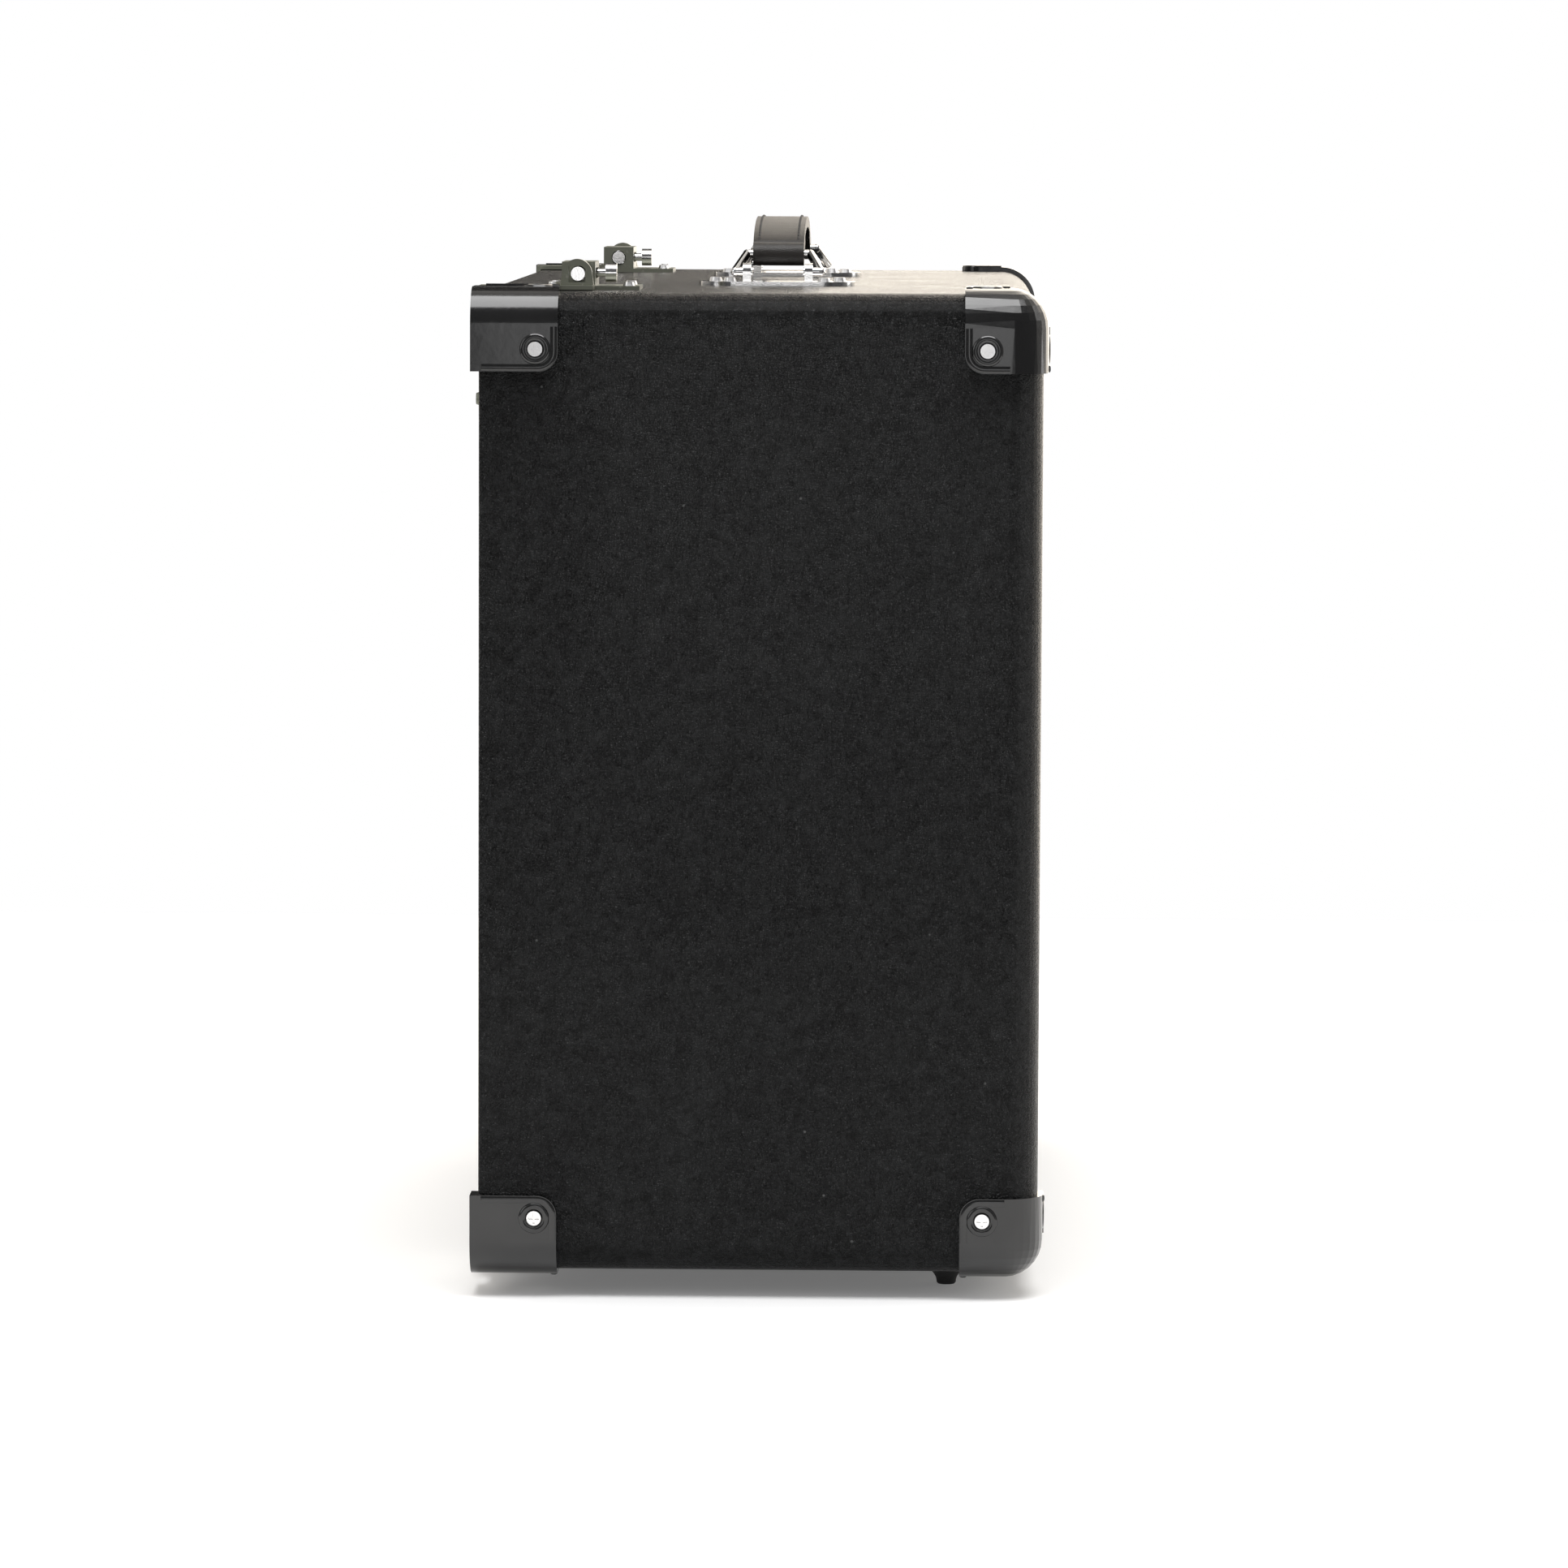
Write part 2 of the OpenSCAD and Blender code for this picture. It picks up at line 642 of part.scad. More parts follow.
ribbon_w = 12;
ribbon_t = 0.8;
module tray_ribbons() color("maroon")
    for (x = [inner_x0, outer_x0], s = [-1, 1])
        span(x - ribbon_t, x, s * 120 - ribbon_w / 2, s * 120 + ribbon_w / 2, card_z0 + 0.2, card_z0 + tray_wall - 0.2);

// Deep tray behind the chip trays, for cards, dice and a folded mat.
module accessory_tray() color([0.12, 0.12, 0.13])
    difference() {
        span(bay_x0, bay_x1, -tray_y, tray_y, tray_z0, tray_z1);
        span(bay_x0 - 1, bay_x1 - tray_wall, -tray_y + tray_wall, tray_y - tray_wall,
            tray_z0 + tray_wall, tray_z1 - tray_wall);
    }

divider_z = tray_z0 + 130;
module accessory_dividers() color([0.12, 0.12, 0.13]) {
    span(bay_x0 + 4, bay_x1 - tray_wall - eps, -tray_y + tray_wall + eps, tray_y - tray_wall - eps,
        divider_z, divider_z + tray_wall);
    span(bay_x0 + 4, bay_x1 - tray_wall - eps, -tray_wall / 2, tray_wall / 2,
        divider_z + tray_wall + eps, tray_z1 - tray_wall - eps);
}

board_top();
board_bottom();
board_near_end();
board_far_end();
board_back();
cover_shell();
lining();
corner_near_top_front();
corner_near_bottom_front();
corner_far_top_front();
corner_far_bottom_front();
corner_near_top_back();
corner_near_bottom_back();
corner_far_top_back();
corner_far_bottom_back();
corner_screws();
rubber_feet();
foot_screws();
handle_plates();
handle_plate_screws();
ring_near();
ring_far();
strap();
hinge_leaves_body();
hinge_screws_body();
hinge_leaves_lid();
hinge_pins();
hinge_screws_lid();
lid_board();
lid_cover();
lid_pad();
hasps();
hasp_screws();
bolt_housings();
bolt_near();
bolt_far();
bolt_housing_screws();
tray_inner();
tray_outer();
tray_ribbons();
accessory_tray();
accessory_dividers();
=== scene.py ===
"""Looks of an upright poker chip case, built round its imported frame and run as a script."""

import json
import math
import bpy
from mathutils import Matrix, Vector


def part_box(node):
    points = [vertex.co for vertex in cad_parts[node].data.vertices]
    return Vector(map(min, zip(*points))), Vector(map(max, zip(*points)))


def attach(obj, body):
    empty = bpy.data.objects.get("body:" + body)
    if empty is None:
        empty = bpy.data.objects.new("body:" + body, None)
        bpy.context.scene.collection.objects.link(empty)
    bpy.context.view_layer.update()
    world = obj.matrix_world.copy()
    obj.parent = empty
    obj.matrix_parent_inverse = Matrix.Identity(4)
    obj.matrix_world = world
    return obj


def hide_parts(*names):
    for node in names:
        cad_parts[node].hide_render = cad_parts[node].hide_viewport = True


bl_info = {
    "name": "Poker chip case",
    "version": (1, 0, 0),
    "blender": (4, 5, 0),
    "location": "3D View > Sidebar > Chip case",
    "description": "Leatherette, corner protectors, strap, hardware, trays and the stage of a chip case",
    "category": "Object",
}

import bmesh
import bpy
from mathutils import Matrix, Vector
from mathutils.bvhtree import BVHTree

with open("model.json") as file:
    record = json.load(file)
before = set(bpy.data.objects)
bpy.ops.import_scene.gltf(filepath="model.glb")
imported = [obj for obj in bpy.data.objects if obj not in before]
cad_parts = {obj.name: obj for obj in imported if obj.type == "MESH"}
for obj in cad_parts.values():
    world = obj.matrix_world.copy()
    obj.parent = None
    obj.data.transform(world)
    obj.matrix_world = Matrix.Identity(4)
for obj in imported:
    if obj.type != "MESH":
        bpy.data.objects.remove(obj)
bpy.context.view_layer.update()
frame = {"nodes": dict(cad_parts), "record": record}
MM = 0.001

# The stage: half the floor's width, the camera's place, and its yaw, pitch and roll in radians.
FLOOR_HALF = 1.05
CAMERA_PLACE = (0.0657, -2.8213, 0.4171)
CAMERA_TURN = (0.0212, 0.0891, 0.0045)
# Light by direction, from behind the camera round to behind the case.
WORLD_STOPS = ((0.35, (0.13, 0.13, 0.135, 1)), (0.78, (0.75, 0.72, 0.68, 1)),
               (0.95, (3.1, 2.85, 2.5, 1)))

# ---------- places read from the frame ----------


def corner_points(node):
    """Lowest and highest corner of a CAD node, as vectors."""
    low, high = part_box(node)
    return Vector(low), Vector(high)


COVER_LOW, COVER_HIGH = corner_points("cover_shell")
LID_LOW = corner_points("lid_cover")[0]
BOARD_LOW, BOARD_HIGH = corner_points("lid_board")
STRAP_LOW, STRAP_HIGH = corner_points("strap")


# ---------- shader maths ----------


class Value:
    """A node socket that takes part in arithmetic: each operator adds a Math node."""

    def __init__(self, maker, socket):
        self.maker, self.socket = maker, socket

    def _math(self, operation, *terms, clamp=False):
        return self.maker.node("ShaderNodeMath", {"operation": operation, "use_clamp": clamp},
                               dict(enumerate(terms)))

    def __add__(self, other):
        return self._math("ADD", self, other)

    def __radd__(self, other):
        return self._math("ADD", other, self)

    def __sub__(self, other):
        return self._math("SUBTRACT", self, other)

    def __rsub__(self, other):
        return self._math("SUBTRACT", other, self)

    def __mul__(self, other):
        return self._math("MULTIPLY", self, other)

    def __rmul__(self, other):
        return self._math("MULTIPLY", other, self)

    def __truediv__(self, other):
        return self._math("DIVIDE", self, other)

    def sine(self):
        """Sine of the value."""
        return self._math("SINE", self)

    def clamped(self):
        """The value held between 0 and 1."""
        return self._math("ADD", self, 0.0, clamp=True)

    def above(self, level, soft):
        """A soft step that rises from 0 to 1 round a level."""
        return ((self - level) / soft + 0.5).clamped()


class Finish:
    """A material being made, with one Principled shader and the nodes that feed it."""

    def __init__(self, name, **constants):
        self.material = bpy.data.materials.new(name)
        self.material.use_nodes = True
        self.tree = self.material.node_tree
        self.shader = self.tree.nodes["Principled BSDF"]
        for socket, value in constants.items():
            self.shader.inputs[socket.replace("_", " ")].default_value = value
        self.place = self.node("ShaderNodeTexCoord", output="Object")

    def put(self, socket, value):
        """Links a Value, or sets a plain number, colour or vector."""
        if isinstance(value, Value):
            self.tree.links.new(value.socket, socket)
        else:
            socket.default_value = value

    def node(self, kind, settings=None, inputs=None, output=0):
        """Adds a node, sets it up, feeds its sockets and gives one output back."""
        made = self.tree.nodes.new(kind)
        for name, value in (settings or {}).items():
            setattr(made, name, value)
        for name, value in (inputs or {}).items():
            self.put(made.inputs[name], value)
        return Value(self, made.outputs[output])

    def stretched(self, scale):
        """Object coordinates scaled unevenly, for grain that runs one way."""
        return self.node("ShaderNodeMapping", {"vector_type": "POINT"},
                         {"Vector": self.place, "Scale": scale})

    def noise(self, scale, detail=3.0, rough=0.55, warp=0.0, place=None):
        """Noise value with a size given as features per metre."""
        return self.node("ShaderNodeTexNoise", {},
                         {"Vector": place or self.place, "Scale": scale, "Detail": detail,
                          "Roughness": rough, "Distortion": warp})

    def cells(self, scale, feature="DISTANCE_TO_EDGE", place=None):
        """Distance in a cell pattern, for grain and specks."""
        return self.node("ShaderNodeTexVoronoi", {"feature": feature},
                         {"Vector": place or self.place, "Scale": scale},
                         output="Distance")

    def tint(self, mask, low, high):
        """A colour that goes from low to high with a mask."""
        return self.node("ShaderNodeMix", {"data_type": "RGBA"},
                         {0: mask, 6: (*low, 1), 7: (*high, 1)}, output=2)

    def part(self, colour, axis):
        """One axis of a vector, as a value."""
        return self.node("ShaderNodeSeparateXYZ", {}, {0: colour}, output=axis)

    def feed(self, **links):
        """Feeds the shader's varying sockets."""
        for socket, value in links.items():
            self.put(self.shader.inputs[socket.replace("_", " ")], value)
        return self

    def bump(self, height, distance, strength=1.0):
        """Surface relief from a height, in metres."""
        return self.feed(Normal=self.node("ShaderNodeBump", {},
                                          {"Height": height, "Distance": distance,
                                           "Strength": strength}))


def grey(level, warm=0.0):
    """A neutral colour, a little warmer where asked."""
    return (level * (1 + warm), level, level * (1 - warm))


def leatherette_finish(colours):
    """Black vinyl with a fine pressed grain, shallow creases and a soft sheen; painted shade darkens the
    grain's hollows and creases.
    """
    f = Finish("leatherette", Specular_IOR_Level=0.13, Coat_Roughness=0.15)
    warp = f.node("ShaderNodeTexNoise", {}, {"Vector": f.place, "Scale": 260.0, "Detail": 2.0},
                  output="Color")
    bent = f.node("ShaderNodeVectorMath", {"operation": "MULTIPLY_ADD"},
                  {0: warp, 1: (0.0012,) * 3, 2: f.place})
    pebbles = f.cells(1350.0, place=bent)
    creases = f.cells(560.0, place=bent)
    grain = (pebbles * 3.0).clamped() * 0.6 + (creases * 5.0).clamped() * 0.5
    mottle = f.noise(38.0, 4.0)
    dust = f.cells(60.0, "F1")
    speck = 1 - dust.above(0.03, 0.02)
    wrinkle = f.noise(210.0, 4.0, 0.7, 0.8)
    # Colour follows the grain and wrinkle relief: painted shade in the hollows and creases, painted light on
    # the pebbles, plus random mottle.
    grain_shade_and_mottle = (grain * 0.5 + mottle * 0.35 + (wrinkle - 0.5) * 2.4).clamped()
    base = f.tint(grain_shade_and_mottle, colours.leather_hollow_shade, colours.leather_pebble_lit)
    f.feed(Base_Color=f.node("ShaderNodeMix", {"data_type": "RGBA"},
                             {0: speck * 0.5, 6: base, 7: (0.16, 0.16, 0.16, 1)}, output=2),
           Roughness=0.2 - grain * 0.05 + mottle * 0.12, Coat_Weight=0.03 + mottle * 0.04)
    return f.bump(grain + wrinkle * 1.2 + f.noise(3200.0, 2.0) * 0.25, 0.0005, 1.0).material


def protector_finish(colours):
    """Glossy black moulded plastic with faint scuffs."""
    f = Finish("corner_plastic", Coat_Roughness=0.05, IOR=1.5)
    scuff = f.noise(900.0, 5.0, 0.7, place=f.stretched((1.0, 0.25, 3.0)))
    swirl = f.noise(60.0, 2.0)
    f.feed(Base_Color=f.tint(swirl, colours.plastic_dark, colours.plastic_light),
           Roughness=0.11 + scuff * 0.14, Coat_Weight=0.25 + swirl * 0.2)
    return f.bump(f.noise(240.0, 2.0), 0.00008, 0.6).material


def chrome_finish(name, shade, rough):
    """Bright plated steel with handling haze."""
    f = Finish(name)
    haze = f.noise(420.0, 4.0, 0.65)
    f.feed(Base_Color=f.tint(haze, grey(shade * 0.82, 0.01), grey(shade, 0.01)),
           Roughness=rough + haze * 0.1, Metallic=1.0)
    return f.bump(f.noise(1500.0, 2.0), 0.00002, 0.5).material


def enamel_finish(colours):
    """Grey-green enamel of the bolt housings, worn a little at high spots."""
    f = Finish("housing_enamel")
    wear = f.noise(330.0, 5.0, 0.7).above(0.66, 0.1)
    f.feed(Base_Color=f.tint(wear, colours.enamel, colours.enamel_worn),
           Roughness=0.34 + wear * 0.2, Metallic=0.25 + wear * 0.5)
    return f.bump(f.noise(900.0, 3.0), 0.00006, 0.6).material


def strap_finish(colours):
    """Smooth brown-black leather with pores and pull-up wrinkles across it."""
    f = Finish("strap_leather", Specular_IOR_Level=0.4)
    wrinkles = f.noise(330.0, 4.0, 0.6, place=f.stretched((0.35, 1.6, 1.0)))
    pores = f.cells(1500.0)
    rub = f.noise(70.0, 3.0)
    f.feed(Base_Color=f.tint(rub, colours.strap_dark, colours.strap_light),
           Roughness=0.3 + wrinkles * 0.16 + rub * 0.08)
    return f.bump(wrinkles * 0.8 + (pores * 4.0).clamped() * 0.35, 0.00018, 0.7).material


def thread_finish():
    """Waxed sewing thread with a tight twist."""
    f = Finish("waxed_thread")
    twist = (f.part(f.place, 1) * 9000.0 + f.part(f.place, 2) * 9000.0).sine() * 0.5 + 0.5
    f.feed(Base_Color=f.tint(twist, grey(0.02), grey(0.055, 0.05)), Roughness=0.55 + twist * 0.1)
    return f.bump(twist, 0.0001, 0.8).material


def felt_finish(name, low, high):
    """Short felt nap."""
    f = Finish(name, Sheen_Weight=0.35, Sheen_Roughness=0.5, Specular_IOR_Level=0.2)
    nap = f.noise(2600.0, 4.0, 0.7)
    brushed = f.noise(45.0, 3.0)
    f.feed(Base_Color=f.tint(nap * 0.6 + brushed * 0.4, low, high), Roughness=0.86 + nap * 0.12)
    return f.bump(nap, 0.0003, 0.7).material


def tray_finish():
    """Flocked tray moulding."""
    return felt_finish("flocked_tray", grey(0.010), grey(0.034))


def plywood_finish():
    """Pale plywood with grain along the case."""
    f = Finish("plywood")
    rings = f.noise(90.0, 5.0, 0.6, 1.2, place=f.stretched((6.0, 0.5, 6.0)))
    fibres = f.noise(900.0, 3.0, 0.6, place=f.stretched((3.0, 0.15, 3.0)))
    f.feed(Base_Color=f.tint(rings * 0.7 + fibres * 0.3, (0.42, 0.27, 0.14), (0.68, 0.5, 0.3)),
           Roughness=0.58 + fibres * 0.2)
    return f.bump(fibres, 0.0002, 0.6).material


def rubber_finish():
    """Moulded rubber with a dusty bloom."""
    f = Finish("foot_rubber", Specular_IOR_Level=0.35)
    bloom = f.noise(300.0, 4.0, 0.65)
    f.feed(Base_Color=f.tint(bloom, grey(0.010), grey(0.035)), Roughness=0.55 + bloom * 0.25)
    return f.bump(f.noise(2200.0, 2.0), 0.00008, 0.6).material


def ribbon_finish(colours):
    """Woven satin ribbon."""
    f = Finish("pull_ribbon", Sheen_Weight=0.3)
    weave = (f.part(f.place, 1) * 12000.0).sine() * 0.5 + (f.part(f.place, 2) * 12000.0).sine() * 0.5
    shade = f.noise(160.0, 2.0)
    f.feed(Base_Color=f.tint(shade, colours.ribbon_dark, colours.ribbon_light), Roughness=0.42 + shade * 0.15)
    return f.bump(weave, 0.00012, 0.7).material


def floor_finish():
    """Plain pale studio floor."""
    f = Finish("pale_floor", Specular_IOR_Level=0.2, Emission_Strength=0.14, Emission_Color=(1, 1, 1, 1))
    drift = f.noise(3.0, 2.0)
    return f.feed(Base_Color=f.tint(drift, grey(0.93), grey(0.96)), Roughness=0.7 + drift * 0.1).material


# ---------- mesh helpers ----------


def new_piece(name, bm, material, body, smooth=35.0):
    """Makes a scene object from a bmesh, with its finish, and lets it ride on a body."""
    mesh = bpy.data.meshes.new(name)
    bmesh.ops.recalc_face_normals(bm, faces=bm.faces)
    bm.to_mesh(mesh)
    bm.free()
    made = bpy.data.objects.new(name, mesh)
    bpy.context.scene.collection.objects.link(made)
    mesh.materials.append(material)
    mesh.shade_smooth()
    mesh.set_sharp_from_angle(angle=math.radians(smooth))
    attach(made, body)
    return made


def soften(target, width, segments=3, angle=35.0):
    """Adds a small bevel so that edges catch the light."""
    bevel = target.modifiers.new("soft_edges", "BEVEL")
    bevel.width, bevel.segments = width, segments
    bevel.limit_method, bevel.angle_limit = "ANGLE", math.radians(angle)
    bevel.harden_normals = True


def sweep(bm, path, profile):
    """Sweeps a profile of (side, up) offsets along points that carry their side and up directions."""
    rings = []
    for point, side, up in path:
        rings.append([bm.verts.new(point + side * a + up * b) for a, b in profile])
    count = len(profile)
    for one, two in zip(rings, rings[1:]):
        for i in range(count):
            j = (i + 1) % count
            bm.faces.new((one[i], one[j], two[j], two[i]))
    bm.faces.new(rings[0])
    bm.faces.new(reversed(rings[-1]))


def arc(centre, radius, start, end, steps):
    """Points on an arc in a plane, angles in degrees."""
    return [(centre[0] + radius * math.cos(math.radians(start + (end - start) * i / steps)),
             centre[1] + radius * math.sin(math.radians(start + (end - start) * i / steps)))
            for i in range(steps + 1)]


# ---------- sizes ----------


class ChipCaseCovers(bpy.types.PropertyGroup):
    """Sizes of the soft coverings."""

    edge_radius: bpy.props.FloatProperty(name="Edge radius", description="Rounding of the covered edges",
                                         default=12 * MM, unit="LENGTH")
    turn_in: bpy.props.FloatProperty(name="Turn-in", description="Depth of the leatherette in the opening",
                                     default=17 * MM, unit="LENGTH")
    stitch: bpy.props.FloatProperty(name="Stitch", description="Length of one stitch in the strap",
                                    default=3.2 * MM, unit="LENGTH")


def colour_property(name, description, value):
    """A colour that a user may change."""
    return bpy.props.FloatVectorProperty(name=name, description=description, subtype="COLOR", size=3,
                                         default=value, min=0.0, max=1.0)


class ChipCaseColours(bpy.types.PropertyGroup):
    """Colours of the finishes."""

    # Low and high leatherette colours: painted shade in the grain's hollows and painted light on its pebbles,
    # over the vinyl's own black.
    leather_hollow_shade: colour_property("Leather low", "Leatherette in the grain's hollows", grey(0.0003, -0.03))
    leather_pebble_lit: colour_property("Leather high", "Leatherette on the grain's pebbles", grey(0.016, -0.04))
    plastic_dark: colour_property("Corner low", "Corner protectors, darker swirls", grey(0.006))
    plastic_light: colour_property("Corner high", "Corner protectors, lighter swirls", grey(0.012))
    enamel: colour_property("Housing", "Enamel of the bolt housings", (0.15, 0.155, 0.12))
    enamel_worn: colour_property("Housing worn", "Enamel where it's rubbed", (0.36, 0.36, 0.32))
    strap_dark: colour_property("Strap low", "Strap leather in its folds", (0.0080, 0.0066, 0.0056))
    strap_light: colour_property("Strap high", "Strap leather where it's handled", (0.020, 0.0165, 0.0138))
    ribbon_dark: colour_property("Ribbon low", "Pull ribbon in shade", (0.16, 0.008, 0.015))
    ribbon_light: colour_property("Ribbon high", "Pull ribbon in light", (0.32, 0.02, 0.035))


class ChipCaseProtectors(bpy.types.PropertyGroup):
    """Sizes of the corner protectors' raised details."""

    reach: bpy.props.FloatProperty(name="Reach", description="Reach of a protector along each edge",
                                   default=28 * MM, unit="LENGTH")
    thickness: bpy.props.FloatProperty(name="Thickness", description="Thickness of a protector",
                                       default=1.8 * MM, unit="LENGTH")
    border: bpy.props.FloatProperty(name="Border", description="Width of the raised border",
                                    default=2.6 * MM, unit="LENGTH")
    border_up: bpy.props.FloatProperty(name="Border height", description="Height of the raised border",
                                       default=0.7 * MM, unit="LENGTH")
    tip: bpy.props.FloatProperty(name="Tip radius", description="Rounding of a flange's free corner",
                                 default=7 * MM, unit="LENGTH")


class ChipCaseStage(bpy.types.PropertyGroup):
    """Camera and light."""

    focal: bpy.props.FloatProperty(name="Focal length", description="Lens of the camera", default=168.5)
    panel_power: bpy.props.FloatProperty(name="Panel power", description="Power of the overhead panel",
                                         default=38.0, unit="POWER")


# ---------- operators ----------


class CHIPCASE_OT_leather_skin(bpy.types.Operator):
    """Leatherette over the body, rounded on its covered edges and turned over the rim of the opening"""

    bl_idname = "chipcase.leather_skin"
    bl_label = "Leather skin"

    def execute(self, context):
        sizes = context.scene.chipcase_covers
        low, high, r = COVER_LOW, COVER_HIGH, sizes.edge_radius
        rim, lip, bend, lid_gap = 0.6 * MM, 0.8 * MM, 0.25 * MM, 0.75 * MM
        wall = LID_LOW.y - low.y - lid_gap

        def ring(x, inset, radius, steps=10):
            y0, y1 = low.y + inset, high.y - inset
            z0, z1 = low.z + inset, high.z - inset
            radius = max(radius, 0.05 * MM)
            spots = []
            for cy, cz, start in ((y1 - radius, z1 - radius, 0), (y0 + radius, z1 - radius, 90),
                                  (y0 + radius, z0 + radius, 180), (y1 - radius, z0 + radius, 270)):
                spots += arc((cy, cz), radius, start, start + 90, steps)
            return [(x, y, z) for y, z in spots]

        loops = [ring(low.x + sizes.turn_in, wall, 0), ring(low.x + rim, wall, 0),
                 ring(low.x, wall - rim, rim), ring(low.x, lip, r - lip),
                 ring(low.x + bend, bend, r - bend), ring(low.x + lip, 0, r)]
        loops += [ring(low.x + (high.x - r - low.x) * t, 0, r) for t in (0.25, 0.5, 0.75, 1.0)]
        for i in range(1, 11):
            a = math.radians(9 * i)
            inset = r * (1 - math.cos(a))
            loops.append(ring(high.x - r + r * math.sin(a), inset, r - inset))
        bm = bmesh.new()
        made = [[bm.verts.new(p) for p in loop] for loop in loops]
        for one, two in zip(made, made[1:]):
            for i in range(len(one)):
                j = (i + 1) % len(one)
                bm.faces.new((one[i], one[j], two[j], two[i]))
        bm.faces.new(made[-1])
        skin = new_piece("leather_skin", bm, leatherette_finish(context.scene.chipcase_colours), "case",
                         40.0)
        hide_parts("cover_shell")
        return {"FINISHED"}


class CHIPCASE_OT_lid_wrap(bpy.types.Operator):
    """Leatherette turned over the lid's edges onto its inner side"""

    bl_idname = "chipcase.lid_wrap"
    bl_label = "Lid wrap"

    def execute(self, context):
        low, high = BOARD_LOW, BOARD_HIGH
        proud, sunk, hem = 0.3 * MM, -0.2 * MM, -9 * MM
        front, back = LID_LOW.x + 0.4 * MM, high.x
        # Places from front to back, each with its distance out from the lid's edge.
        outline = [(front, proud), (back + proud, proud), (back + proud, hem), (back + sunk, hem),
                   (back + sunk, sunk), (front, sunk)]
        bm = bmesh.new()
        rings = []
        for sy, sz in ((1, 1), (-1, 1), (-1, -1), (1, -1)):
            rings.append([bm.verts.new((x, (high.y if sy > 0 else low.y) + sy * out,
                                        (high.z if sz > 0 else low.z) + sz * out)) for x, out in outline])
        for one, two in zip(rings, rings[1:] + rings[:1]):
            for i in range(len(outline)):
                j = (i + 1) % len(outline)
                bm.faces.new((one[i], one[j], two[j], two[i]))
        new_piece("lid_wrap", bm, bpy.data.materials["leatherette"], "lid", 30.0)
        return {"FINISHED"}


class CHIPCASE_OT_protector_borders(bpy.types.Operator):
    """Raised borders and screw bosses moulded on the eight corner protectors"""

    bl_idname = "chipcase.protector_borders"
    bl_label = "Protector borders"

    def execute(self, context):
        sizes = context.scene.chipcase_protectors
        edge = context.scene.chipcase_covers.edge_radius
        plastic = bpy.data.materials["corner_plastic"]
        for body_end, fy in (("near", -1), ("far", 1)):
            for level, fz in (("top", 1), ("bottom", -1)):
                for side, fx in (("front", -1), ("back", 1)):
                    node = "corner_%s_%s_%s" % (body_end, level, side)
                    bm = bmesh.new()
                    for plane in ((1, 0, 2), (2, 0, 1)) + (((0, 1, 2),) if fx > 0 else ()):
                        self.border(bm, plane, (fx, fy, fz), sizes, edge)
                        self.boss(bm, plane, (fx, fy, fz), sizes)
                    new_piece("border_" + node, bm, plastic, "case", 50.0)
        return {"FINISHED"}

    def outward(self, plane, signs, sizes):
        """Face height, and a function from flange coordinates to a place."""
        normal, first, second = plane
        corner = [COVER_HIGH[k] if signs[k] > 0 else COVER_LOW[k] for k in range(3)]

        def place(a, b, up):
            p = list(corner)
            p[normal] += signs[normal] * (sizes.thickness + up)
            p[first] -= signs[first] * a
            p[second] -= signs[second] * b
            return Vector(p)

        return place

    def border(self, bm, plane, signs, sizes, edge):
        """A rounded strip along a flange's free edges."""
        place = self.outward(plane, signs, sizes)
        inset = sizes.border / 2 + 0.15 * MM
        far, r = sizes.reach - inset, sizes.tip - inset
        begin = 1 * MM if signs[0] < 0 and 0 in plane[1:] else edge
        first_from = begin if plane[1] == 0 and signs[0] < 0 else edge
        points = [(first_from, far)] + [(far - r + x, far - r + y) for x, y in
                                        reversed(arc((0, 0), r, 0, 90, 8))] + [(far, edge)]
        path = []
        for i, (a, b) in enumerate(points):
            before, after = points[max(i - 1, 0)], points[min(i + 1, len(points) - 1)]
            along = Vector((after[0] - before[0], after[1] - before[1])).normalized()
            here = place(a, b, 0)
            side = place(a - along.y, b + along.x, 0) - here
            up = place(a, b, 1) - here
            path.append((here, side, up))
        half = sizes.border / 2
        profile = [(-half, -0.3 * MM)] + [(-half * math.cos(math.pi * t / 6),
                                           sizes.border_up * math.sin(math.pi * t / 6) ** 0.6)
                                          for t in range(1, 6)] + [(half, -0.3 * MM)]
        sweep(bm, path, profile)

    def boss(self, bm, plane, signs, sizes):
        """A low ring round the screw."""
        place = self.outward(plane, signs, sizes)
        centre = sizes.reach - 8 * MM
        profile = [(3.5 * MM, -0.4 * MM), (3.5 * MM, 0.45 * MM), (3.8 * MM, 0.62 * MM), (4.8 * MM, 0.62 * MM),
                   (5.4 * MM, 0.3 * MM), (5.7 * MM, -0.4 * MM)]
        steps, rings = 40, []
        for i in range(steps):
            a = 2 * math.pi * i / steps
            rings.append([bm.verts.new(place(centre + q * math.cos(a), centre + q * math.sin(a), up))
                          for q, up in profile])
        for i in range(steps):
            one, two = rings[i], rings[(i + 1) % steps]
            for k in range(len(profile)):
                m = (k + 1) % len(profile)
                bm.faces.new((one[k], one[m], two[m], two[k]))


class CHIPCASE_OT_strap_stitching(bpy.types.Operator):
    """Rows of stitches through the folded ends of the strap"""

    bl_idname = "chipcase.strap_stitching"
    bl_label = "Strap stitching"

    def execute(self, context):
        pitch = context.scene.chipcase_covers.stitch
        cad = frame["nodes"]["strap"]
        tree = surface_tree(cad)
        bm = bmesh.new()
        middle = (STRAP_LOW.x + STRAP_HIGH.x) / 2
        reach = STRAP_HIGH.y - 8 * MM
        count = int(2 * reach / pitch)
        for side in (-1, 1):
            x = middle + side * ((STRAP_HIGH.x - STRAP_LOW.x) / 2 - 2.2 * MM)
            for i in range(count):
                y = -reach + pitch * (i + 0.5)
                ends = [drop(tree, x, y + pitch * step, STRAP_HIGH.z + 20 * MM) for step in (-0.36, 0.36)]
                if None not in ends:
                    capsule(bm, ends[0], ends[1], 0.42 * MM)
        new_piece("strap_stitching", bm, thread_finish(), "handle_strap", 60.0)
        return {"FINISHED"}


